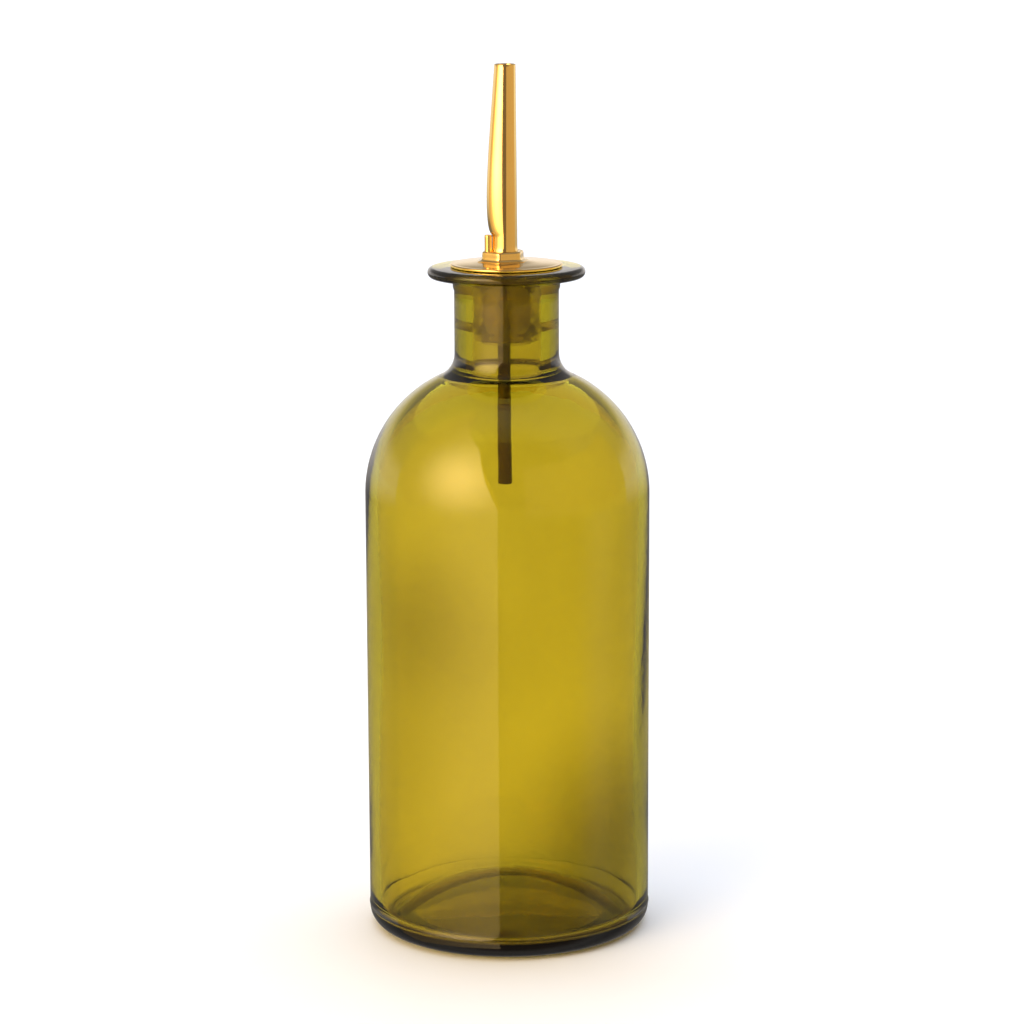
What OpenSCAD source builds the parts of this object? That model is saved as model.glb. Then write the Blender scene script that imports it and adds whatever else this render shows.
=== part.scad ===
// Glass oil bottle with a metal pourer.
// Origin: centre of the foot, on the surface that the bottle stands on. +Z is up.
// -Y is the front. The tip of the spout leans towards +Y, and the vent stands to the left, at -X.

/* [Glass bottle] */
// Outer radius of the bottle's wall
body_r = 37.5; // [36:0.1:39]
// Height of the glass, from the foot to the top of the lip
bottle_h = 177; // [172:0.5:190]
// Thickness of the glass in the wall and the shoulder
wall = 3; // [2.4:0.1:3.6]
// Radius of the rounded heel, between foot and wall
heel_r = 4.5; // [3:0.1:6]
// Height at which the straight wall ends and the shoulder starts
shoulder_z = 117; // [112:0.1:120]
// Radius of the shoulder's dome
dome_r = 34.4; // [33:0.1:35]
// Radius of the hollow curve from the shoulder to the neck
neck_fillet_r = 6.6; // [5:0.1:8]
// Outer radius of the neck
neck_r = 13.7; // [13.2:0.1:14]
// Radius of the bore that takes the stopper
bore_r = 9; // [8.8:0.05:9.4]
// Outer radius of the flat lip
lip_r = 20.6; // [19:0.1:22]
// Thickness of the flat lip
lip_t = 2.8; // [2.8:0.1:4]
// Height of the hollow that is pushed up under the foot
punt_h = 5; // [3:0.1:6]
// Thickness of the floor at its edge
floor_t = 3; // [2.5:0.1:4]
// How far the middle of the inner floor stands above its edge
floor_rise = 9; // [7:0.1:10]

/* [Stopper] */
// Height of the stopper's lower end
stopper_z = 158.2; // [156:0.1:158.5]
// Outer radius of the stopper between its ribs
stopper_r = 8.6; // [8.2:0.1:8.7]
// Number of sealing ribs
rib_count = 2; // [1:1:3]
// Distance from one rib to the next
rib_pitch = 6; // [4.2:0.1:6.5]
// Depth of a rib's sloping underside
rib_slope_h = 2.3; // [1.6:0.1:3.3]

/* [Metal pourer] */
// Outer radius of the shank that the stopper sits on
shank_r = 6.4; // [6.2:0.1:6.6]
// Outer radius of the collar plate
plate_r = 14.7; // [13.5:0.1:16]
// Thickness of the pressed metal
sheet_t = 0.8; // [0.6:0.1:1]
// Height of the boss that carries the spout and the vent
boss_h = 2.5; // [2:0.1:3]
// Distance from the boss's centre to its corners
boss_r = 5.9; // [5.8:0.1:6.4]
// Height of the spout's tip above the foot
spout_tip_z = 229; // [215:1:240]
// Radius of the spout where it enters the boss
spout_base_r = 3.37; // [3:0.01:3.4]
// Radius of the spout at its tip
spout_tip_r = 2.8; // [2.6:0.05:3.3]
// How much the spout's radius swells in its lower third
spout_swell = 0.8; // [0:0.01:1]
// How far the tip leans back from the spout's foot
spout_lean = 5; // [0:0.5:14]

/* [Vent] */
// Outer radius of the vent pipe
vent_r = 0.95; // [0.85:0.05:1]
// Height of the vent pipe's open end
vent_top_z = 185.3; // [183:0.1:185.4]
// Outer radius of the dip tube
dip_r = 1.75; // [1.6:0.05:2]
// Height of the dip tube's lower end
dip_z = 119.5; // [110:0.5:140]

/* [Hidden] */
$fn = 96;

// running clearance between the parts that move on each other, on the radius
clearance = 0.05;
// clearance round a pipe in its drilled seat, on the radius
seat_clearance = 0.02;

// glass
dome_x = body_r - dome_r;
foot_r = body_r - heel_r;
foot_inner_r = 26;
inner_r = body_r - wall;
inner_heel_r = 3.5;
floor_r = inner_r - inner_heel_r;
fillet_z = shoulder_z + sqrt(pow(dome_r + neck_fillet_r, 2) - pow(neck_r + neck_fillet_r - dome_x, 2));
fillet_a = atan2(fillet_z - shoulder_z, neck_r + neck_fillet_r - dome_x);
throat_r = 2.5;
throat_z = shoulder_z + sqrt(pow(dome_r - wall + throat_r, 2) - pow(bore_r + throat_r - dome_x, 2));
throat_a = atan2(throat_z - shoulder_z, bore_r + throat_r - dome_x);
bead_r = neck_r + 0.35;
bead_h = 3.4;
lip_z = bottle_h - lip_t;
lip_edge_r = 1.35;
mouth_edge_r = 0.8;

// stopper
stopper_top_z = bottle_h - 0.1;
rib_r = bore_r - clearance;
rib_land_h = 0.7;
first_rib_z = 163.3;

// pourer
shank_wall = 0.5;
shank_bottom_z = stopper_z - 1;
plate_z = bottle_h;
plate_top_z = plate_z + 2 * sheet_t;
plate_flat_r = 7.6;
plate_rim_r = 12.6;
flange_r = 7;
boss_x = -0.9;
boss_turn = 20;
boss_top_z = plate_top_z + boss_h;
spout_x = -0.45;
spout_wall = 0.45;
spout_bow = 0.72;
spout_tip_shift = 0.3;
swell_start = 0.09;
spout_hole_r = spout_base_r - spout_wall;

// vent
vent_wall = 0.35;
vent_x = -4.7;
vent_y = -1.2;
dip_x = -0.7;
dip_y = -0.3;
dip_top_z = 169;
bend_top_z = 177;
bend_bottom_z = 170.5;
vent_end_z = 156;

// Points of an arc round [cx, cy], from angle a0 to angle a1, in n steps.
function arc(cx, cy, r, a0, a1, n) =
    [for (i = [0:n]) let (a = a0 + (a1 - a0) * i / n) [cx + r * cos(a), cy + r * sin(a)]];

// A smooth step from 0 to 1.
function smooth(t) = t * t * (3 - 2 * t);

// Section of the glass, from the middle of the foot round the outside, over the lip and down inside.
function glass_outline() = concat(
    [for (i = [0:12]) let (r = foot_inner_r * i / 12) [r, punt_h * (1 - pow(r / foot_inner_r, 2))]],
    arc(foot_r, heel_r, heel_r, -90, 0, 8),
    arc(dome_x, shoulder_z, dome_r, 0, fillet_a, 18),
    arc(neck_r + neck_fillet_r, fillet_z, neck_fillet_r, fillet_a + 180, 180, 8),
    [[neck_r, lip_z - bead_h], [bead_r, lip_z - bead_h + 1], [bead_r, lip_z - 0.6], [bead_r + 0.6, lip_z]],
    arc(lip_r - lip_edge_r, lip_z + lip_edge_r, lip_edge_r, -90, 0, 6),
    arc(lip_r - lip_edge_r, bottle_h - lip_edge_r, lip_edge_r, 0, 90, 6),
    arc(bore_r + mouth_edge_r, bottle_h - mouth_edge_r, mouth_edge_r, 90, 180, 4),
    arc(bore_r + throat_r, throat_z, throat_r, 180, throat_a + 180, 6),
    arc(dome_x, shoulder_z, dome_r - wall, throat_a, 0, 18),
    arc(inner_r - inner_heel_r, floor_t + inner_heel_r, inner_heel_r, 0, -90, 8),
    [for (i = [11:-1:0]) let (r = floor_r * i / 12) [r, floor_t + floor_rise * (1 - pow(r / floor_r, 2))]]
);

module glass_bottle() {
    color("olive", 0.6)
        rotate_extrude() polygon(glass_outline());
}

// One sealing rib: a thin lip on top of a sloping underside.
module rib(top_z) {
    slope_z = top_z - rib_land_h - rib_slope_h;
    translate([0, 0, slope_z])
        cylinder(h = rib_slope_h, r1 = stopper_r - 0.4, r2 = rib_r);
    translate([0, 0, top_z - rib_land_h])
        cylinder(h = rib_land_h, r = rib_r);
}

module stopper() {
    chamfer = 0.3;
    color("wheat")
        difference() {
            union() {
                translate([0, 0, stopper_z])
                    cylinder(h = chamfer, r1 = stopper_r - chamfer, r2 = stopper_r);
                translate([0, 0, stopper_z + chamfer])
                    cylinder(h = stopper_top_z - stopper_z - chamfer, r = stopper_r);
                for (i = [0:rib_count - 1]) rib(first_rib_z + i * rib_pitch);
            }
            translate([0, 0, stopper_z - 1])
                cylinder(h = stopper_top_z - stopper_z + 2, r = shank_r + clearance);
        }
}

// Pressed disc: a flat rim that lies on the lip, a cone and a raised flat middle.
module collar_plate() {
    round_r = sheet_t / 2;
    color("gold")
        difference() {
            rotate_extrude()
                polygon(concat(
                    [[0, plate_z + sheet_t], [plate_flat_r, plate_z + sheet_t], [plate_rim_r, plate_z]],
                    arc(plate_r - round_r, plate_z + round_r, round_r, -90, 90, 8),
                    [[plate_rim_r + 0.2, plate_z + sheet_t], [plate_flat_r + 0.2, plate_top_z]],
                    [[0, plate_top_z]]
                ));
            translate([spout_x, 0, plate_z]) cylinder(h = 3, r = spout_hole_r);
            translate([vent_x, vent_y, plate_z]) cylinder(h = 3, r = vent_r + seat_clearance);
        }
}

// Six-sided boss with a bevelled top, drilled for the spout and the vent.
module spout_boss() {
    bevel = 0.5;
    color("gold")
        difference() {
            translate([boss_x, 0, plate_top_z])
                rotate(boss_turn) {
                    cylinder(h = boss_h - bevel, r1 = boss_r + 0.3, r2 = boss_r, $fn = 6);
                    translate([0, 0, boss_h - bevel])
                        cylinder(h = bevel, r1 = boss_r, r2 = boss_r - bevel, $fn = 6);
                }
            translate([spout_x, 0, plate_top_z - 1])
                cylinder(h = boss_h + 2, r = spout_base_r + seat_clearance);
            translate([vent_x, vent_y, plate_top_z - 1])
                cylinder(h = boss_h + 2, r = vent_r + seat_clearance);
        }
}

// Height, centre and radius of the spout at t, from 0 at its foot to 1 at its tip.
function spout_bulge(t) = sin(180 * pow(max(0, t - swell_start) / (1 - swell_start), 0.45));
function spout_z(t) = boss_top_z + (spout_tip_z - boss_top_z) * t;
function spout_centre(t) = [spout_x + spout_tip_shift * t - spout_bow * spout_bulge(t), spout_lean * t * t];
function spout_radius(t) = spout_base_r + (spout_tip_r - spout_base_r) * t + spout_swell * spout_bulge(t);

// A ring of points of radius r round [x, y] at height z.
function ring(x, y, z, r, sides) =
    [for (k = [0:sides - 1]) let (a = 360 * k / sides) [x + r * cos(a), y + r * sin(a), z]];

// Wall of a tube from two stacks of rings with the same count: outside, then inside, with open ends.
module tube_of_rings(outer, inner, sides) {
    n = len(outer);
    outside = [for (i = [0:n - 1]) each outer[i]];
    inside = [for (i = [0:n - 1]) each inner[i]];
    s = n * sides;
    e = s - sides;
    faces = concat(
        [for (i = [0:n - 2], k = [0:sides - 1]) let (m = (k + 1) % sides)
            [i * sides + k, (i + 1) * sides + k, (i + 1) * sides + m, i * sides + m]],
        [for (i = [0:n - 2], k = [0:sides - 1]) let (m = (k + 1) % sides)
            [s + i * sides + m, s + (i + 1) * sides + m, s + (i + 1) * sides + k, s + i * sides + k]],
        [for (k = [0:sides - 1]) let (m = (k + 1) % sides) [k, m, s + m, s + k]],
        [for (k = [0:sides - 1]) let (m = (k + 1) % sides) [e + m, e + k, s + e + k, s + e + m]]
    );
    polyhedron(points = concat(outside, inside), faces = faces, convexity = 4);
}

module spout_tube() {
    sides = 32;
    steps = 19;
    foot = [[spout_x, 0, plate_top_z, spout_base_r]];
    swell_ts = [for (i = [0:steps]) swell_start + (1 - swell_start) * i / steps];
    body = [for (t = concat([0], swell_ts)) let (c = spout_centre(t))
        [c.x, c.y, spout_z(t), spout_radius(t)]];
    stack = concat(foot, body);
    color("gold")
        tube_of_rings(
            [for (p = stack) ring(p[0], p[1], p[2], p[3], sides)],
            [for (p = stack) ring(p[0], p[1], p[2], p[3] - spout_wall, sides)],
            sides
        );
}

// Clear tube under the collar plate that carries the stopper, with a flange bonded into the plate.
module pour_shank() {
    color("whitesmoke", 0.6)
        difference() {
            union() {
                translate([0, 0, shank_bottom_z]) cylinder(h = plate_z - shank_bottom_z, r = shank_r);
                translate([0, 0, plate_z]) cylinder(h = sheet_t, r = flange_r);
            }
            translate([0, 0, shank_bottom_z - 1])
                cylinder(h = plate_z - shank_bottom_z + sheet_t + 2, r = shank_r - shank_wall);
        }
}

// Centre of the vent pipe at height z: straight under its mouth, then across to the dip tube.
function vent_share(z) = smooth(min(1, max(0, (bend_top_z - z) / (bend_top_z - bend_bottom_z))));
function vent_centre(z) =
    [vent_x + (dip_x - vent_x) * vent_share(z), vent_y + (dip_y - vent_y) * vent_share(z)];

module vent_pipe() {
    sides = 20;
    steps = 14;
    heights = concat(
        [vent_top_z],
        [for (i = [0:steps]) bend_top_z - (bend_top_z - bend_bottom_z) * i / steps],
        [vent_end_z]
    );
    stack = [for (i = [len(heights) - 1:-1:0]) let (z = heights[i], c = vent_centre(z)) [c.x, c.y, z]];
    color("gold")
        tube_of_rings(
            [for (p = stack) ring(p[0], p[1], p[2], vent_r, sides)],
            [for (p = stack) ring(p[0], p[1], p[2], vent_r - vent_wall, sides)],
            sides
        );
}

module dip_tube() {
    color("darkgoldenrod")
        translate([dip_x, dip_y, dip_z])
            difference() {
                cylinder(h = dip_top_z - dip_z, r = dip_r);
                translate([0, 0, -1]) cylinder(h = dip_top_z - dip_z + 2, r = vent_r + seat_clearance);
            }
}

glass_bottle();
stopper();
collar_plate();
spout_boss();
spout_tube();
pour_shank();
vent_pipe();
dip_tube();
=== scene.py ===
# %% [markdown]
# # A glass oil bottle with a metal pourer
#
# The bottle is blown into a mould: a straight body, a domed shoulder, a short neck and a flat lip.
# A gold-plated pourer sits in the neck on a silicone stopper, with a bent, tapered spout, a small
# air vent beside it and a dip tube that leads the air below the oil.
#
# The frame is the CAD model's: metres, +Z up, the origin at the centre of the foot.

import bpy
import numpy as np
from mathutils import Matrix, Vector


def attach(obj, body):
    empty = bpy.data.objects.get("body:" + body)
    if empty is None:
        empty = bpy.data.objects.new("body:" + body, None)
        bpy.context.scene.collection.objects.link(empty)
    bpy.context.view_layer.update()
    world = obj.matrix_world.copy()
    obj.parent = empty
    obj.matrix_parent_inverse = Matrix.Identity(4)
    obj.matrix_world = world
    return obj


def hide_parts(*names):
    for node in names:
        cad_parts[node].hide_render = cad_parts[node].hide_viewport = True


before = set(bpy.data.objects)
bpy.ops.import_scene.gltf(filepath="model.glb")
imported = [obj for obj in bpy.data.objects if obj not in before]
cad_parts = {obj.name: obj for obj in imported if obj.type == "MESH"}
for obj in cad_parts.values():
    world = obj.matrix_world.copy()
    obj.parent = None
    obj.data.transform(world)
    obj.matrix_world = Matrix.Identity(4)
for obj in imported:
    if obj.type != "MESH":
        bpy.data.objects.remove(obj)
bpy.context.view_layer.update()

MM = 0.001
print("nodes:", sorted(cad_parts))

# %% [markdown]
# ## Measurements
#
# All of them are in millimetres and are those of the CAD model, so that every piece drawn here
# lies on the node that it stands for.

# %% Measurements
BODY_R, WALL, HEEL_R = 37.5, 3.0, 4.5
SHOULDER_Z, DOME_R = 117.0, 34.4
NECK_R, NECK_FILLET = 13.7, 6.6
BORE_R = 9.0
LIP_R, LIP_T, LIP_EDGE = 20.6, 2.8, 1.35
BOTTLE_H = 177.0
FOOT_IN_R, PUNT_H, FLOOR_T, FLOOR_RISE, INNER_HEEL = 26.0, 5.0, 3.0, 9.0, 3.5
PLATE_TOP = BOTTLE_H + 1.6
BOSS_TOP = PLATE_TOP + 2.5
SPOUT_X, SPOUT_TIP_Z = -0.45, 229.0

# %% [markdown]
# ## Tools for surfaces
#
# A piece is one grid of points, rings by sides, worked out as whole arrays. `skin` closes such a
# grid into a mesh. A lathe turns a profile round the Z axis. A pipe carries a circle along a line.

# %% Tools for surfaces


def skin(name, grid, loop=False):
    """Mesh of a grid of rings: every ring is closed, and loop joins the last ring to the first.

    A ring that has no size, such as a pole, becomes one vertex.
    """
    rings, sides = grid.shape[:2]
    index = np.arange(rings * sides).reshape(rings, sides)
    for end in (0, rings - 1):
        if np.ptp(grid[end], axis=0).max() < 1e-9:
            index[end] = index[end, 0]
    a = index if loop else index[:-1]
    b = np.roll(index, -1, axis=0) if loop else index[1:]
    quads = np.stack([a, np.roll(a, -1, axis=1), np.roll(b, -1, axis=1), b], -1).reshape(-1, 4)
    used, quads = np.unique(quads, return_inverse=True)
    quads = quads.reshape(-1, 4)
    faces = []
    for q in quads.tolist():
        f = list(dict.fromkeys(q))
        if len(f) > 2:
            faces.append(f)
    mesh = bpy.data.meshes.new(name)
    mesh.from_pydata((grid.reshape(-1, 3)[used] * MM).tolist(), [], faces)
    mesh.polygons.foreach_set("use_smooth", np.ones(len(mesh.polygons), bool))
    mesh.update()
    obj = bpy.data.objects.new(name, mesh)
    bpy.context.scene.collection.objects.link(obj)
    print(f"{name}: {len(mesh.vertices)} vertices, {len(mesh.polygons)} faces")
    return obj


def lathe(profile, sides=192, shape=None):
    """Grid of a profile of (radius, height) turned round the Z axis: x = r cos a, y = r sin a.

    shape may change r and z by angle.
    """
    a = np.linspace(0, 2 * np.pi, sides, endpoint=False)[None, :]
    r, z = profile[:, :1] + 0 * a, profile[:, 1:] + 0 * a
    if shape:
        r, z = shape(r, z, a)
    return np.stack([r * np.cos(a), r * np.sin(a), z], -1)


def arc(cx, cy, r, start, end, n=12):
    """Points of an arc round (cx, cy), between two angles in degrees."""
    t = np.radians(np.linspace(start, end, n + 1))
    return np.stack([cx + r * np.cos(t), cy + r * np.sin(t)], -1)


def refine(profile, step):
    """The same profile with points added so that none are farther apart than step."""
    out = [profile[:1]]
    for a, b in zip(profile[:-1], profile[1:]):
        n = max(1, int(np.ceil(np.hypot(*(b - a)) / step)))
        out.append(a + (b - a) * (np.arange(1, n + 1) / n)[:, None])
    return np.concatenate(out)


def pipe(centres, radii, wall, sides=64, rim=6):
    """Grid of a hollow pipe: level circles round the centres, up the outside and down the inside.

    The two ends have rounded rims.
    """
    a = np.linspace(0, 2 * np.pi, sides, endpoint=False)
    half = wall / 2
    turn = np.radians(np.linspace(0, 180, rim + 1))[1:-1]

    def over(c, r, sign):
        rr = r - half + half * np.cos(turn)
        zz = c[2] - half + half * np.sin(turn) if sign > 0 else c[2] + half - half * np.sin(turn)
        return np.stack([c[0] + 0 * rr, c[1] + 0 * rr, zz, rr], -1)

    c = np.asarray(centres, float)
    r = np.asarray(radii, float)
    body = c.copy()
    body[0, 2] += half
    body[-1, 2] -= half
    outside = np.column_stack([body, r])
    inside = np.column_stack([body, r - wall])[::-1]
    rows = np.concatenate([outside, over(c[-1], r[-1], 1), inside, over(c[0], r[0], -1)[::-1]])
    x = rows[:, :1] + rows[:, 3:] * np.cos(a)
    y = rows[:, 1:2] + rows[:, 3:] * np.sin(a)
    return np.stack([x, y, rows[:, 2:3] + 0 * x], -1)


# %% [markdown]
# ## Tools for materials
#
# Colours are written as the hex values seen on a screen and turned to linear light in one place.
# `node` adds one shader node with its inputs.

# %% Tools for materials


def linear(hex_colour):
    """Linear red, green, blue and 1 from a #rrggbb screen colour."""
    c = np.array([int(hex_colour[i : i + 2], 16) for i in (1, 3, 5)]) / 255
    c = np.where(c <= 0.04045, c / 12.92, ((c + 0.055) / 1.055) ** 2.4)
    return (*c.tolist(), 1.0)


def node(tree, kind, inputs=None, **settings):
    """A new node. inputs maps a socket's name or number to a value or to the socket that feeds it."""
    n = tree.nodes.new(kind)
    for key, value in settings.items():
        setattr(n, key, value)
    for key, value in (inputs or {}).items():
        if isinstance(value, bpy.types.NodeSocket):
            tree.links.new(value, n.inputs[key])
        else:
            n.inputs[key].default_value = value
    return n


def material(name):
    """A new material with an empty node tree, and its tree."""
    m = bpy.data.materials.new(name)
    m.use_nodes = True
    m.node_tree.nodes.clear()
    return m, m.node_tree


def put(tree, surface, volume=None):
    """Wires the shader to the material's output."""
    out = node(tree, "ShaderNodeOutputMaterial", {"Surface": surface})
    if volume:
        tree.links.new(volume, out.inputs["Volume"])


def noise(tree, scale, detail=3.0, stretch=(1, 1, 1)):
    """Noise of that scale per metre in the piece's own coordinates."""
    co = node(tree, "ShaderNodeTexCoord").outputs["Object"]
    mapped = node(tree, "ShaderNodeMapping", {"Vector": co, "Scale": stretch})
    return node(tree, "ShaderNodeTexNoise", {"Vector": mapped.outputs[0], "Scale": scale, "Detail": detail})


def spread(tree, value, low, high):
    """The value 0..1 spread over low..high."""
    return node(tree, "ShaderNodeMapRange", {"Value": value, "To Min": low, "To Max": high}).outputs[0]


def smooth_range(tree, value, limits):
    """A map range node with a smooth step, fed by value."""
    return node(tree, "ShaderNodeMapRange", {"Value": value, **limits}, interpolation_type="SMOOTHSTEP")


# %% [markdown]
# ## The glass
#
# The glass is coloured through its thickness, so the colour is not on the surface. Light that
# goes through a wall loses a share per millimetre: little of the red, more of the green and nearly
# all of the blue. Three millimetres look olive yellow, and the lip and the foot look nearly black,
# because light travels a long way in them. A plain absorption in the volume does most of this.
# A thin flashed layer on the surface adds the rest. Its two tones paint faint clouds of shade, and a darker
# tone paints shade in two soft pools, low at the right and halfway up at the left.
#
# Absorption per metre is density times (1 - colour).

# %% Glass
ABSORB = np.array([92.0, 98.0, 380.0])
# Two tones of the flashed tint; the difference between them paints faint clouds of shade.
FLASH_TINT_AND_CLOUD_SHADE = (0.86, 0.74, 0.28, 1), (0.93, 0.80, 0.30, 1)
# A darker tint that paints shade in two soft pools, low at the right and halfway up at the left.
PAINTED_SHADE_TINT = (0.42, 0.35, 0.12, 1)
PAINTED_SHADE_POOLS = ((0.026, -0.027, 0.030), 0.042, 1.0), ((-0.024, -0.028, 0.088), 0.03, 0.5)


def painted_shade_pool(tree, centre, radius, strength):
    """How strong the painted shade is: strength at the centre, and a smooth fall to 0 at radius."""
    co = node(tree, "ShaderNodeTexCoord").outputs["Object"]
    shift = tuple(-c / radius for c in centre)
    near = node(tree, "ShaderNodeMapping", {"Vector": co, "Location": shift, "Scale": (1 / radius,) * 3})
    ball = node(tree, "ShaderNodeTexGradient", {0: near.outputs[0]}, gradient_type="SPHERICAL")
    return smooth_range(tree, ball.outputs[1], {"To Max": strength}).outputs[0]


def tinted_glass():
    m, t = material("Olive soda-lime glass, mould blown")
    fine = noise(t, 260, 2.0)
    bump = node(t, "ShaderNodeBump", {"Height": fine.outputs[0], "Strength": 0.03, "Distance": 0.0005})
    cloud = noise(t, 24, 1.0, (1, 1, 0.7))
    # Painted shade: a noise mask mixes the two tones into faint clouds.
    cloud_shade_mask = smooth_range(t, cloud.outputs[0], {"From Min": 0.35, "From Max": 0.65})
    tone = node(t, "ShaderNodeMix", {0: cloud_shade_mask.outputs[0]}, data_type="RGBA")
    tone.inputs[6].default_value, tone.inputs[7].default_value = FLASH_TINT_AND_CLOUD_SHADE
    # Painted shade: two soft pools darken the glass's colour.
    painted_shade = node(t, "ShaderNodeMath", {0: painted_shade_pool(t, *PAINTED_SHADE_POOLS[0]), 1: painted_shade_pool(t, *PAINTED_SHADE_POOLS[1])}, operation="ADD")
    tone = node(t, "ShaderNodeMix", {0: painted_shade.outputs[0], 6: tone.outputs[2], 7: PAINTED_SHADE_TINT}, data_type="RGBA")
    glass = node(t, "ShaderNodeBsdfPrincipled", {
        "Base Color": tone.outputs[2], "Roughness": 0.0, "IOR": 1.52, "Transmission Weight": 1.0,
        "Normal": bump.outputs[0],
    })
    share = 1 - ABSORB / ABSORB.max()
    inside = node(t, "ShaderNodeVolumeAbsorption", {"Color": (*share.tolist(), 1), "Density": float(ABSORB.max())})
    put(t, glass.outputs[0], inside.outputs[0])
    return m


GLASS = tinted_glass()
print("light left after 6 mm of glass:", np.round(np.exp(-ABSORB * 0.006), 3).tolist())

# %% [markdown]
# ## The bottle
#
# One profile turned round the axis: up the outside from the hollow foot, over the lip and down the
# inside to the floor, which is pushed up in the middle. Blown glass is never even inside, so the inner wall wanders by
# a few tenths of a millimetre. That makes the streaks near its edges; the soft patches in the wall are painted shade in
# the glass's colour.
# A fine ring stands out just above the heel, where the mould's base plate met its sides.

# %% Bottle


def glass_profile():
    dome_x = BODY_R - DOME_R
    foot_r = BODY_R - HEEL_R
    r = np.linspace(0, FOOT_IN_R, 14)
    foot = np.stack([r, PUNT_H * (1 - (r / FOOT_IN_R) ** 2)], -1)
    fillet_x = NECK_R + NECK_FILLET
    fillet_z = SHOULDER_Z + np.sqrt((DOME_R + NECK_FILLET) ** 2 - (fillet_x - dome_x) ** 2)
    fillet_a = np.degrees(np.arctan2(fillet_z - SHOULDER_Z, fillet_x - dome_x))
    lip_z = BOTTLE_H - LIP_T
    throat = 2.5
    throat_x = BORE_R + throat
    throat_z = SHOULDER_Z + np.sqrt((DOME_R - WALL + throat) ** 2 - (throat_x - dome_x) ** 2)
    throat_a = np.degrees(np.arctan2(throat_z - SHOULDER_Z, throat_x - dome_x))
    bead = NECK_R + 0.35
    inner = BODY_R - WALL
    seam = np.array([[BODY_R, 5.0], [BODY_R + 0.1, 5.15], [BODY_R + 0.16, 5.3], [BODY_R + 0.1, 5.45], [BODY_R, 5.6]])
    floor_r = np.linspace(inner - INNER_HEEL, 0, 18)[1:]
    floor = np.stack([floor_r, FLOOR_T + FLOOR_RISE * (1 - (floor_r / (inner - INNER_HEEL)) ** 2)], -1)
    outside = np.concatenate([
        foot, arc(foot_r, HEEL_R, HEEL_R, -90, 0, 16), seam,
        arc(dome_x, SHOULDER_Z, DOME_R, 0, fillet_a, 48),
        arc(fillet_x, fillet_z, NECK_FILLET, fillet_a + 180, 180, 16),
        [[NECK_R, lip_z - 3.4], [NECK_R + 0.2, lip_z - 2.9], [bead, lip_z - 2.4], [bead, lip_z - 0.9], [bead + 0.25, lip_z - 0.3], [bead + 0.8, lip_z]],
        arc(LIP_R - LIP_EDGE, lip_z + LIP_EDGE, LIP_EDGE, -90, 90, 20),
    ])
    inside = np.concatenate([
        arc(BORE_R + 0.8, BOTTLE_H - 0.8, 0.8, 90, 180, 8),
        arc(throat_x, throat_z, throat, 180, throat_a + 180, 12),
        arc(dome_x, SHOULDER_Z, DOME_R - WALL, throat_a, 0, 48),
        arc(inner - INNER_HEEL, FLOOR_T + INNER_HEEL, INNER_HEEL, 0, -90, 16),
        floor,
    ])
    return outside, inside


def step(x, low, high):
    """0 below low, 1 above high and a smooth step between."""
    t = np.clip((x - low) / (high - low), 0, 1)
    return t * t * (3 - 2 * t)


def inner_wander(z, a):
    """How far the inner wall stands out from its mean, in mm.

    It is a sum of slow waves round and up the wall, with two thicker places at the sides, faded out
    at the floor and below the neck.
    """
    waves = (
        0.08 * np.cos(2 * a + 1.6 + 0.014 * z)
        + 0.06 * np.cos(3 * a - 1.1 - 0.03 * z)
        + 0.05 * np.cos(5 * a + 0.4 + 0.05 * z)
        + 0.04 * np.cos(9 * a + 2.0 - 0.06 * z)
    )
    right = 0.2 * np.exp(-(((z - 24) / 12) ** 2) - (1 - np.cos(a)) / 0.2)
    left = 0.18 * np.exp(-(((z - 74) / 20) ** 2) - (1 + np.cos(a)) / 0.2)
    return (waves - right - left) * step(z, 10, 26) * (1 - step(z, 118, 140))


outside, inside = glass_profile()
outside, inside = refine(outside, 3.0), refine(inside, 3.0)
outer_count = len(outside)


def bottle_shape(r, z, a):
    inner = np.arange(len(r))[:, None] >= outer_count
    return np.where(inner & (r > 0), r + inner_wander(z, a), r), z


glass_grid = lathe(np.concatenate([outside, inside]), 224, bottle_shape)
bottle = skin("bottle_glass", glass_grid)
bottle.data.materials.append(GLASS)
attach(bottle, "bottle")
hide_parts("glass_bottle")

# %% [markdown]
# ## The gold-plated metal
#
# The plate, boss, spout and vent are polished and plated after they are brazed together. Polish
# leaves fine hair lines along the spout and very slightly uneven gloss, so the roughness varies a
# little. The metal's own colour makes the reflections gold.

# %% Gold plating


def gold_plate():
    m, t = material("Gold plating on polished steel")
    cloud = noise(t, 90, 3.0)
    hair = noise(t, 2500, 2.0, (1, 1, 0.04))
    rough = node(t, "ShaderNodeMath", {0: spread(t, cloud.outputs[0], 0.07, 0.15), 1: spread(t, hair.outputs[0], -0.02, 0.03)}, operation="ADD")
    tone = node(t, "ShaderNodeMix", {0: cloud.outputs[0]}, data_type="RGBA")
    tone.inputs[6].default_value = linear("#f2cd80")
    tone.inputs[7].default_value = linear("#f8da98")
    bump = node(t, "ShaderNodeBump", {"Height": hair.outputs[0], "Strength": 0.02, "Distance": 0.0001})
    metal = node(t, "ShaderNodeBsdfPrincipled", {
        "Base Color": tone.outputs[2], "Metallic": 1.0, "Roughness": rough.outputs[0], "Normal": bump.outputs[0],
    })
    put(t, metal.outputs[0])
    return m


GOLD = gold_plate()


def gold_piece(obj, *nodes):
    """Gives a piece the gold, ties it to the pourer and hides the nodes that it stands for."""
    obj.data.materials.append(GOLD)
    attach(obj, "pourer")
    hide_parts(*nodes)


# %% [markdown]
# ## The plate
#
# A pressed disc, 0.8 mm thick, with a rolled edge that lies on the lip. It rises in a soft cone all
# the way to the boss, which makes it stiff. A cone also mirrors the studio in broad soft bands.

# %% Plate


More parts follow.
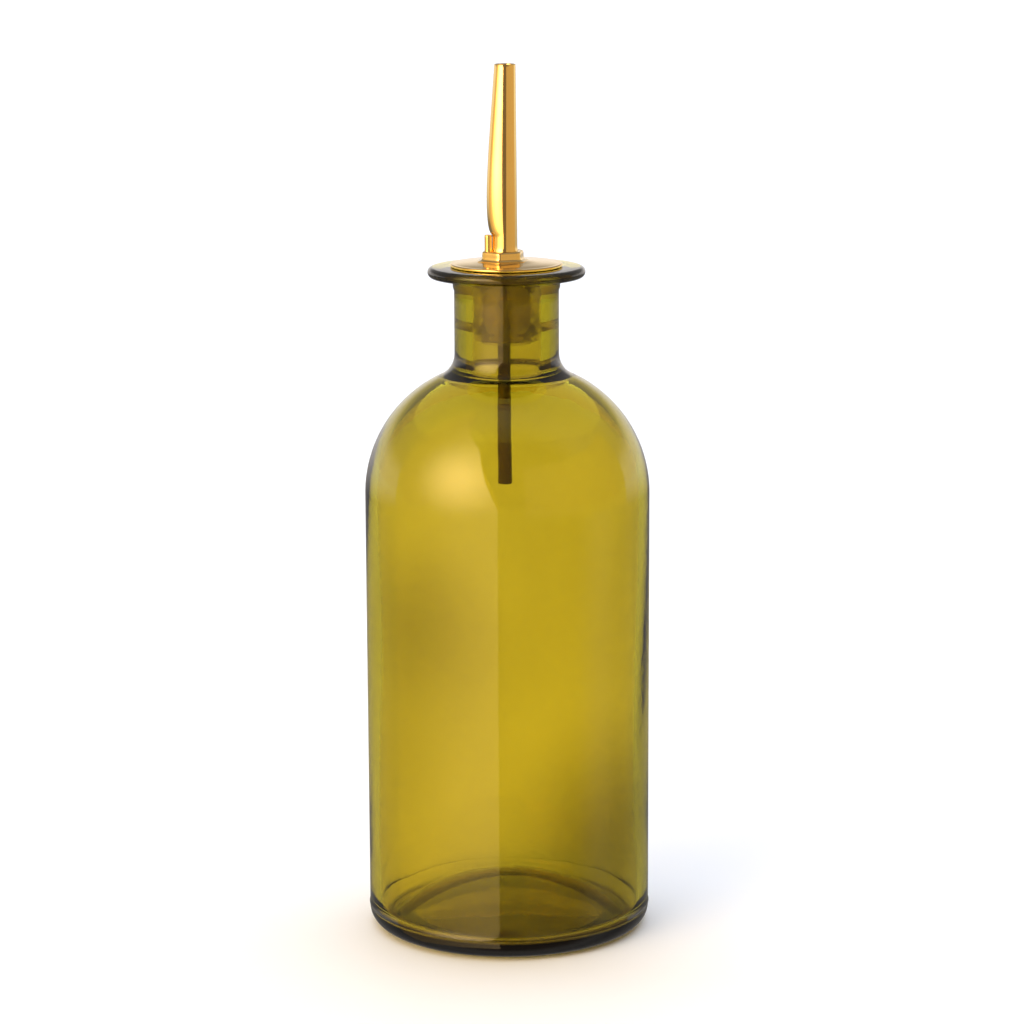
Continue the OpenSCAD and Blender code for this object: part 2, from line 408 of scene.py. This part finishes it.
def plate_profile():
    r = np.linspace(2.4, 13.6, 40)
    slope = np.clip((13.7 - r) / (13.7 - 5.5), 0, 1)
    rise = 0.8 * (slope + 0.12 * np.sin(2 * np.pi * slope) / np.pi)
    top = np.stack([r, BOTTLE_H + 0.8 + rise], -1)[::-1]
    under = np.stack([r, BOTTLE_H + rise], -1)
    edge = arc(14.3, BOTTLE_H + 0.4, 0.4, -90, 90, 10)
    return np.concatenate([under, edge, top])


plate = skin("collar_plate_gold", lathe(refine(plate_profile(), 0.6), 128), loop=True)
gold_piece(plate, "collar_plate")

# %% [markdown]
# ## The boss
#
# A six-sided block under the spout, softened by polishing. Its outline is a rounded hexagon: the
# distance to the middle is the apothem over the p-norm of the cosines to the six flats. A fillet
# of braze spreads its foot on to the plate.

# %% Boss


def boss_grid():
    z = np.array([0.0, 0.03, 0.1, 0.22, 0.4, 0.7, 1.2, 1.7, 2.0, 2.2, 2.35, 2.45, 2.5])
    out = np.array([1.25, 0.85, 0.5, 0.28, 0.12, 0.03, 0.0, 0.0, -0.03, -0.1, -0.22, -0.4, -0.7])
    apothem = 5.9 * np.cos(np.pi / 6)
    a = np.linspace(0, 2 * np.pi, 144, endpoint=False)
    flats = np.radians(20 + 30 + 60 * np.arange(6))
    near = np.clip(np.cos(a[:, None] - flats[None, :]), 0, None)
    r = apothem / (near**18).sum(1) ** (1 / 18)
    rings = r[None, :] + out[:, None]
    rings = np.concatenate([rings, 3.5 + 0 * rings[:1], 3.5 + 0 * rings[:1]])
    heights = np.concatenate([z, [2.5, 0.0]])
    shift = np.concatenate([np.full(len(z), -0.9), [SPOUT_X, SPOUT_X]])
    x = shift[:, None] + rings * np.cos(a)
    return np.stack([x, rings * np.sin(a), PLATE_TOP + heights[:, None] + 0 * rings], -1)


boss = skin("spout_boss_gold", boss_grid(), loop=True)
gold_piece(boss, "spout_boss")

# %% [markdown]
# ## The spout
#
# A tapered tube that curves away to the back. Above its foot it is drawn out to the left, so its
# left half is a half ellipse and the right half and the front stay straight. It is cut level, and
# its rim is rounded. A thin fillet of braze joins it to the boss.

# %% Spout


def spout_line(n=120):
    t = np.linspace(0, 1, n)
    z = BOSS_TOP + (SPOUT_TIP_Z - BOSS_TOP) * t
    x = SPOUT_X + 0.3 * t
    y = 5.0 * t * t
    r = 3.37 + (2.8 - 3.37) * t + 0.2 * np.exp(-(z - BOSS_TOP) / 0.3)
    foot = [[SPOUT_X, 0, PLATE_TOP]]
    return np.concatenate([foot, np.stack([x, y, z], -1)]), np.concatenate([[3.37], r])


def draw_left(grid):
    """Stretches the left half of every ring.

    x moves left by the swell times its share of the radius: 1 at the far left, 0 at front and back.
    """
    t = np.clip((grid[..., 2] - BOSS_TOP) / (SPOUT_TIP_Z - BOSS_TOP), 0, 1)
    bulge = np.sin(np.pi * (np.clip(t - SWELL_START, 0, None) / (1 - SWELL_START)) ** 0.5)
    dx = grid[..., 0] - (SPOUT_X + 0.3 * t)
    share = np.clip(-dx, 0, None) / (3.37 - 0.57 * t)
    grid[..., 0] -= SWELL * bulge * share
    return grid


SWELL, SWELL_START = 1.5, 0.09
centres, radii = spout_line()
spout = skin("spout_gold", draw_left(pipe(centres, radii, 0.45, 112, 10)), loop=True)
gold_piece(spout, "spout_tube")

# %% [markdown]
# ## The vent pipe and the dip tube
#
# Air comes in at the short stub beside the spout. Its pipe bends to the middle inside the neck and
# a plastic tube pushed on to it leads the air down, so that oil and air don't meet in the spout.

# %% Vent pipe and dip tube


def vent_line():
    z = np.concatenate([np.linspace(156, 170, 12), np.linspace(170.5, 177, 28), np.linspace(177.6, 185.3, 12)])
    share = 1 - step(z, 170.5, 177)
    x = -4.7 + (-0.7 + 4.7) * share
    y = -1.2 + (-0.3 + 1.2) * share
    return np.stack([x, y, z], -1)


vent_centres = vent_line()
vent = skin("vent_pipe_gold", pipe(vent_centres, np.full(len(vent_centres), 0.95), 0.35, 48, 8), loop=True)
gold_piece(vent, "vent_pipe")


def smoky_plastic():
    m, t = material("Smoke-brown polypropylene tube")
    streak = noise(t, 700, 2.0, (1, 1, 0.1))
    tone = node(t, "ShaderNodeMix", {0: streak.outputs[0]}, data_type="RGBA")
    tone.inputs[6].default_value = linear("#6e5c34")
    tone.inputs[7].default_value = linear("#7c6a40")
    put(t, node(t, "ShaderNodeBsdfPrincipled", {
        "Base Color": tone.outputs[2], "Roughness": 0.15, "IOR": 1.49, "Transmission Weight": 0.5,
    }).outputs[0])
    return m


dip_z = np.linspace(119.5, 169, 50)
dip_line = np.stack([-0.7 + 0 * dip_z, -0.3 + 0 * dip_z, dip_z], -1)
dip = skin("dip_tube_plastic", pipe(dip_line, np.linspace(1.88, 1.62, 50), 0.62, 64, 8), loop=True)
dip.data.materials.append(smoky_plastic())
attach(dip, "pourer")
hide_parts("dip_tube")

# %% [markdown]
# ## The stopper
#
# Moulded silicone, slightly translucent. Each rib has a thin lip at the top of a sloping underside,
# so that it folds and slides in easily and then grips.

# %% Stopper


def stopper_profile():
    bottom, top, core, rib, hole = 158.2, 176.9, 8.6, 9.03, 6.45
    points = [[hole, bottom], [core - 0.25, bottom], [core - 0.07, bottom + 0.07], [core, bottom + 0.25]]
    for z in (163.3, 173.3):
        points += [
            [core, z - 3.6], [core + 0.06, z - 3.3], [rib - 0.1, z - 2.9], [rib, z - 2.6],
            [rib, z - 0.3], [rib - 0.1, z - 0.1], [core + 0.05, z], [core, z + 0.1],
        ]
    points += [[core, top - 0.3], [core - 0.3, top], [hole, top]]
    return np.array(points)


def silicone():
    m, t = material("Translucent silicone rubber, moulded")
    cloud = noise(t, 160, 3.0)
    tone = node(t, "ShaderNodeMix", {0: cloud.outputs[0]}, data_type="RGBA")
    tone.inputs[6].default_value = linear("#f6efdc")
    tone.inputs[7].default_value = linear("#fbf6e8")
    put(t, node(t, "ShaderNodeBsdfPrincipled", {
        "Base Color": tone.outputs[2], "Roughness": 0.12, "IOR": 1.41, "Transmission Weight": 0.85,
    }).outputs[0])
    return m


stopper = skin("stopper_silicone", lathe(refine(stopper_profile(), 0.7), 128), loop=True)
stopper.data.materials.append(silicone())
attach(stopper, "stopper_body")
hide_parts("stopper")

# %% [markdown]
# ## The shank
#
# The CAD node is right as it is: a plain moulded tube, bonded into the plate. It is clear, since
# the dark line of the dip tube shows through it, and it gets that finish here.

# %% Shank


def clear_plastic():
    m, t = material("Clear polycarbonate tube, moulded")
    lines = noise(t, 900, 3.0, (1, 1, 0.05))
    metal = node(t, "ShaderNodeBsdfPrincipled", {
        "Base Color": linear("#ece6d6"), "Roughness": spread(t, lines.outputs[0], 0.1, 0.2), "IOR": 1.58, "Transmission Weight": 0.95,
    })
    put(t, metal.outputs[0])
    return m


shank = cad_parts["pour_shank"]
shank.data.materials.clear()
shank.data.materials.append(clear_plastic())

# %% [markdown]
# ## Floor and light
#
# A plain white floor runs into a white world. The world is bright behind and dim in front, so that
# the glass shows its own colour and not a veil of reflections. A large curved screen at the left
# front gives the long reflection and the soft highlight on the shoulder, and one at the right fills
# the metal. Both are warm, so two cool suns, which nothing mirrors, keep the floor neutral.

# %% Floor and light


def floor_material():
    m, t = material("Matt white floor")
    grain = noise(t, 30, 3.0)
    put(t, node(t, "ShaderNodeBsdfPrincipled", {"Base Color": linear("#eff3fa"), "Roughness": spread(t, grain.outputs[0], 0.6, 0.7)}).outputs[0])
    return m


def set_piece(obj, mat, glossy=True, seen=True):
    """Makes obj part of the studio and says which rays meet it."""
    obj.data.materials.append(mat)
    obj.visible_glossy = glossy
    obj.visible_camera = seen
    return obj


def flat(name, corners):
    mesh = bpy.data.meshes.new(name)
    mesh.from_pydata(corners, [], [(0, 1, 2, 3)])
    obj = bpy.data.objects.new(name, mesh)
    bpy.context.scene.collection.objects.link(obj)
    return obj


FLOOR_HALF, FLOOR_Z = 8, -0.0002
floor_corners = [(x * FLOOR_HALF, y * FLOOR_HALF, FLOOR_Z) for x, y in ((-1, -1), (1, -1), (1, 1), (-1, 1))]
set_piece(flat("floor", floor_corners), floor_material(), glossy=False)


SCREEN_U, SCREEN_V = 49, 33


def screen(name, azimuths, tops, bottom, distance, hex_colour, strengths, high, spot=None):
    """A curved screen of light round the bottle, over a span of azimuths and elevations.

    Azimuth 0 is the camera's side and positive is to the right. The upper edge follows tops, in
    degrees of elevation at the azimuths. The strength runs from strengths[0] at the first azimuth to
    strengths[1] at the last, and grows by the factor high towards the top. spot adds a soft round
    glow: azimuth, elevation, half width, half height and extra strength.
    """
    u = np.linspace(0, 1, SCREEN_U)
    v = np.linspace(0, 1, SCREEN_V)
    az = np.radians(azimuths[0] + (azimuths[-1] - azimuths[0]) * u)
    order = np.argsort(azimuths)
    top = np.interp(np.degrees(az), np.array(azimuths)[order], np.array(tops)[order])
    el = np.radians(bottom + (top[:, None] - bottom) * v[None, :])
    out = np.stack([np.sin(az)[:, None] * np.cos(el), -np.cos(az)[:, None] * np.cos(el), np.sin(el)], -1)
    points = out * distance + np.array([0, 0, 0.1])
    index = np.arange(SCREEN_U * SCREEN_V).reshape(SCREEN_U, SCREEN_V)
    quads = np.stack([index[:-1, :-1], index[1:, :-1], index[1:, 1:], index[:-1, 1:]], -1).reshape(-1, 4)
    mesh = bpy.data.meshes.new(name)
    mesh.from_pydata(points.reshape(-1, 3).tolist(), [], quads.tolist())
    uv = mesh.uv_layers.new(name="light")
    corners = quads.reshape(-1)
    level = np.degrees(el).reshape(-1)[corners]
    uv.data.foreach_set("uv", np.stack([u[corners // SCREEN_V], (level + 90) / 180], -1).astype(np.float32).reshape(-1))
    obj = bpy.data.objects.new(name, mesh)
    bpy.context.scene.collection.objects.link(obj)
    m, t = material(name + " light")
    co = node(t, "ShaderNodeSeparateXYZ", {0: node(t, "ShaderNodeUVMap", uv_map="light").outputs[0]})
    along = smooth_range(t, co.outputs[0], {"To Min": strengths[0], "To Max": strengths[1]})
    up = smooth_range(t, co.outputs[1], {"From Min": 0.42, "From Max": 0.52, "To Min": 1.0, "To Max": high})
    both = node(t, "ShaderNodeMath", {0: along.outputs[0], 1: up.outputs[0]}, operation="MULTIPLY")
    if spot:
        at_az, at_el, half_az, half_el, extra = spot
        span = azimuths[-1] - azimuths[0]
        du = node(t, "ShaderNodeMath", {0: co.outputs[0], 1: -(at_az - azimuths[0]) / span}, operation="ADD")
        dv = node(t, "ShaderNodeMath", {0: co.outputs[1], 1: -(at_el + 90) / 180}, operation="ADD")
        su = node(t, "ShaderNodeMath", {0: du.outputs[0], 1: abs(span) / half_az}, operation="MULTIPLY")
        sv = node(t, "ShaderNodeMath", {0: dv.outputs[0], 1: 180 / half_el}, operation="MULTIPLY")
        from_spot = node(t, "ShaderNodeCombineXYZ", {0: su.outputs[0], 1: sv.outputs[0]})
        far = node(t, "ShaderNodeVectorMath", {0: from_spot.outputs[0]}, operation="LENGTH")
        glow = smooth_range(t, far.outputs["Value"], {"To Min": extra, "To Max": 0.0})
        both = node(t, "ShaderNodeMath", {0: both.outputs[0], 1: glow.outputs[0]}, operation="ADD")
    put(t, node(t, "ShaderNodeEmission", {"Color": linear(hex_colour), "Strength": both.outputs[0]}).outputs[0])
    return set_piece(obj, m, seen=False)


KEY_SPOT = (-42, 22, 46, 36, 5.0)
screen("key_screen", [-7.7, -30, -79, -100], [-2, 48, 70, 74], -50, 1.6, "#ffdca4", (1.6, 0.6), 1.4, KEY_SPOT)
screen("fill_screen", [14, 60, 110], [34, 34, 34], -9, 1.7, "#ffdca0", (0.55, 0.6), 1.2)


COOL_WHITE = (0.93, 0.99, 1.08)


def sunlight(name, azimuth, elevation, energy, angle):
    """A soft distant light that the bottle and the metal don't mirror."""
    data = bpy.data.lights.new(name, "SUN")
    data.energy, data.angle = energy, np.radians(angle)
    data.color = COOL_WHITE
    obj = bpy.data.objects.new(name, data)
    bpy.context.scene.collection.objects.link(obj)
    a, e = np.radians(azimuth), np.radians(elevation)
    back = Vector((np.sin(a) * np.cos(e), -np.cos(a) * np.cos(e), np.sin(e)))
    obj.rotation_euler = back.to_track_quat("Z", "Y").to_euler()
    obj.visible_glossy = False


sunlight("overhead", 180, 70, 2.9, 100)
sunlight("side_light", -60, 40, 0.7, 50)

world = bpy.data.worlds.new("studio")
bpy.context.scene.world = world
world.use_nodes = True
wt = world.node_tree
wt.nodes.clear()
direction = node(wt, "ShaderNodeTexCoord").outputs["Generated"]
split = node(wt, "ShaderNodeSeparateXYZ", {0: direction})
back = smooth_range(wt, split.outputs[1], {"From Min": -0.6, "From Max": 0.2})
half_up = node(wt, "ShaderNodeMapRange", {"Value": split.outputs[2], "From Min": -1.0, "From Max": 1.0})
heights = node(wt, "ShaderNodeValToRGB", {0: half_up.outputs[0]})
ramp = heights.color_ramp
while len(ramp.elements) > 1:
    ramp.elements.remove(ramp.elements[0])
ramp.elements[0].position = 0.0
ramp.elements[0].color = (0.2, 0.2, 0.2, 1)
for at, grey in ((0.41, 0.22), (0.49, 1.0), (0.57, 1.0), (0.64, 0.36), (1.0, 0.28)):
    ramp.elements.new(at).color = (grey, grey, grey, 1)
tint = node(wt, "ShaderNodeMix", {0: back.outputs[0]}, data_type="RGBA")
tint.inputs[6].default_value = (0.2, 0.15, 0.11, 1)
tint.inputs[7].default_value = (1.04, 0.98, 0.93, 1)
lit = node(wt, "ShaderNodeMix", {0: back.outputs[0], 6: (1, 1, 1, 1), 7: heights.outputs[0]}, data_type="RGBA")
sky_colour = node(wt, "ShaderNodeMix", {0: 1.0, 6: tint.outputs[2], 7: lit.outputs[2]}, data_type="RGBA", blend_type="MULTIPLY")
sky = node(wt, "ShaderNodeBackground", {"Color": sky_colour.outputs[2], "Strength": 1.0})
node(wt, "ShaderNodeOutputWorld", {"Surface": sky.outputs[0]})

# %% [markdown]
# ## Camera
#
# A long lens a little under a metre away, looking down by eleven degrees.

# %% Camera
CAMERA_AT = Vector((0.0012, -0.87405, 0.28725))
PITCH, ROLL, LENS = 11.36, -0.24, 118.58
camera_data = bpy.data.cameras.new("camera")
camera_data.lens = LENS
camera_data.sensor_width = 36
camera_data.clip_start = 0.01
camera = bpy.data.objects.new("camera", camera_data)
bpy.context.scene.collection.objects.link(camera)
camera.matrix_world = (
    Matrix.Translation(CAMERA_AT) @ Matrix.Rotation(np.radians(90 - PITCH), 4, "X") @ Matrix.Rotation(np.radians(ROLL), 4, "Z")
)
bpy.context.scene.camera = camera
bpy.context.scene.view_settings.view_transform = "Standard"
